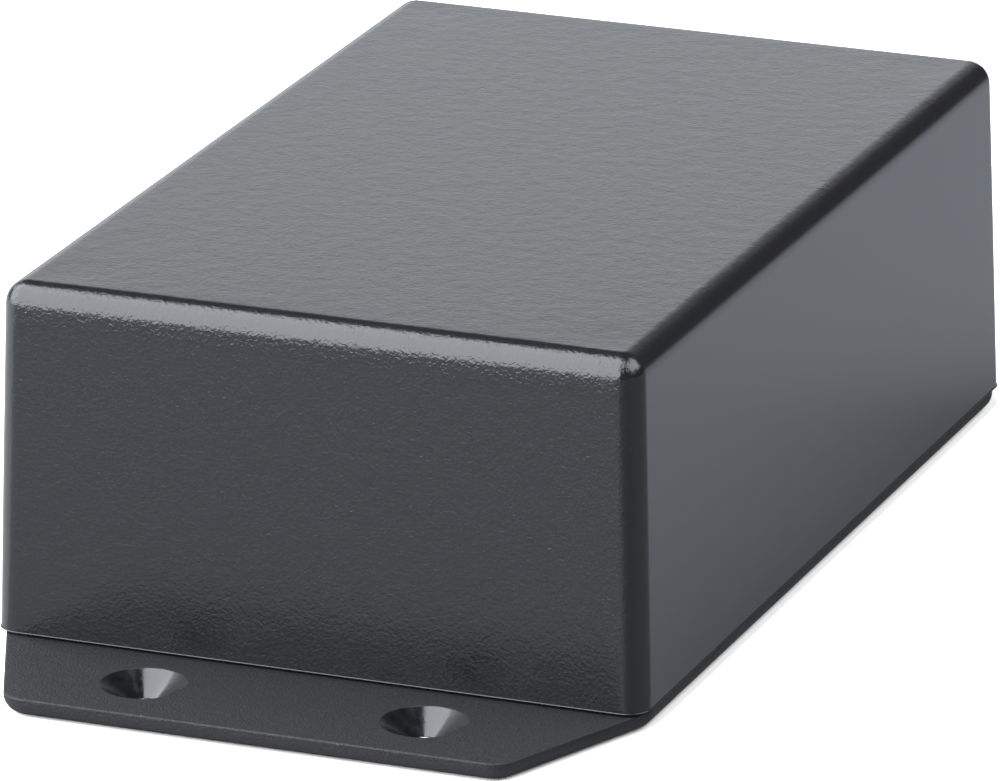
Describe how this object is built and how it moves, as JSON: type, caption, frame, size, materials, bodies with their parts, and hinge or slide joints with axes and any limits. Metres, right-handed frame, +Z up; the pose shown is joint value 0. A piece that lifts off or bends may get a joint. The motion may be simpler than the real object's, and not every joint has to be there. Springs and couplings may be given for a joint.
{
  "type": "cellular signal booster",
  "caption": "Signal booster in a black moulded flange-mount case: drafted cover on a flanged base plate, board and rear connectors inside.",
  "frame": {"origin": "centre of the underside of the base plate", "axes": "+Z up out of the case's closed top, +Y along the long side towards the wall with the connectors, +X across the case"},
  "size_m": [0.08, 0.1624, 0.0446],
  "materials": {
    "case_plastic": "near-black moulded ABS with a fine spark-eroded grain, satin",
    "zinc_steel": "bright zinc plate",
    "brass": "turned and knurled brass",
    "solder_mask": "green solder mask, satin",
    "tinplate": "tin-plated steel sheet",
    "silvered_ceramic": "silver-fired ceramic, dull",
    "chip_epoxy": "black moulding compound",
    "ferrite": "pressed ferrite, matt",
    "can_aluminium": "drawn aluminium can",
    "gold_plate": "gold-plated brass, bright",
    "ptfe": "white insulating plastic",
    "jack_plastic": "black moulded housing",
    "clear_acrylic": "clear acrylic",
    "lamp_plastic": "tinted clear epoxy"
  },
  "bodies": {
    "base": {"flanged_base": "case_plastic"},
    "case": {"board_screw_front_left": "zinc_steel", "board_screw_front_right": "zinc_steel", "board_screw_rear_left": "zinc_steel", "board_screw_rear_right": "zinc_steel", "case_shell": "case_plastic", "circuit_board": "solder_mask", "control_processor": "chip_epoxy", "donor_antenna_jack": "gold_plate", "donor_duplexer": "silvered_ceramic", "donor_jack_contact": "gold_plate", "donor_jack_insulator": "ptfe", "donor_jack_nut": "gold_plate", "donor_lock_washer": "zinc_steel", "downlink_low_noise_amplifier": "chip_epoxy", "downlink_power_amplifier": "chip_epoxy", "downlink_shield_frame": "tinplate", "downlink_shield_lid": "tinplate", "light_pipe": "clear_acrylic", "power_inductor": "ferrite", "power_jack_housing": "jack_plastic", "power_jack_pin": "tinplate", "reference_oscillator": "tinplate", "server_antenna_jack": "gold_plate", "server_duplexer": "silvered_ceramic", "server_jack_contact": "gold_plate", "server_jack_insulator": "ptfe", "server_jack_nut": "gold_plate", "server_lock_washer": "zinc_steel", "status_lamp": "lamp_plastic", "storage_capacitor_input": "can_aluminium", "storage_capacitor_output": "can_aluminium", "thread_insert_front_left": "brass", "thread_insert_front_right": "brass", "thread_insert_rear_left": "brass", "thread_insert_rear_right": "brass", "uplink_low_noise_amplifier": "chip_epoxy", "uplink_power_amplifier": "chip_epoxy", "uplink_shield_frame": "tinplate", "uplink_shield_lid": "tinplate", "voltage_regulator": "chip_epoxy"},
    "screw_front_left": {"lid_screw_front_left": "zinc_steel"},
    "screw_front_right": {"lid_screw_front_right": "zinc_steel"},
    "screw_rear_left": {"lid_screw_rear_left": "zinc_steel"},
    "screw_rear_right": {"lid_screw_rear_right": "zinc_steel"}
  },
  "joints": [
    {"name": "case_lift", "type": "slide", "parent": "base", "child": "case", "axis": [0, 0, 1], "range_m": [0, 0.05]},
    {"name": "screw_front_left_out", "type": "slide", "parent": "base", "child": "screw_front_left", "axis": [0, 0, -1], "range_m": [0, 0.012]},
    {"name": "screw_front_right_out", "type": "slide", "parent": "base", "child": "screw_front_right", "axis": [0, 0, -1], "range_m": [0, 0.012]},
    {"name": "screw_rear_left_out", "type": "slide", "parent": "base", "child": "screw_rear_left", "axis": [0, 0, -1], "range_m": [0, 0.012]},
    {"name": "screw_rear_right_out", "type": "slide", "parent": "base", "child": "screw_rear_right", "axis": [0, 0, -1], "range_m": [0, 0.012]}
  ]
}
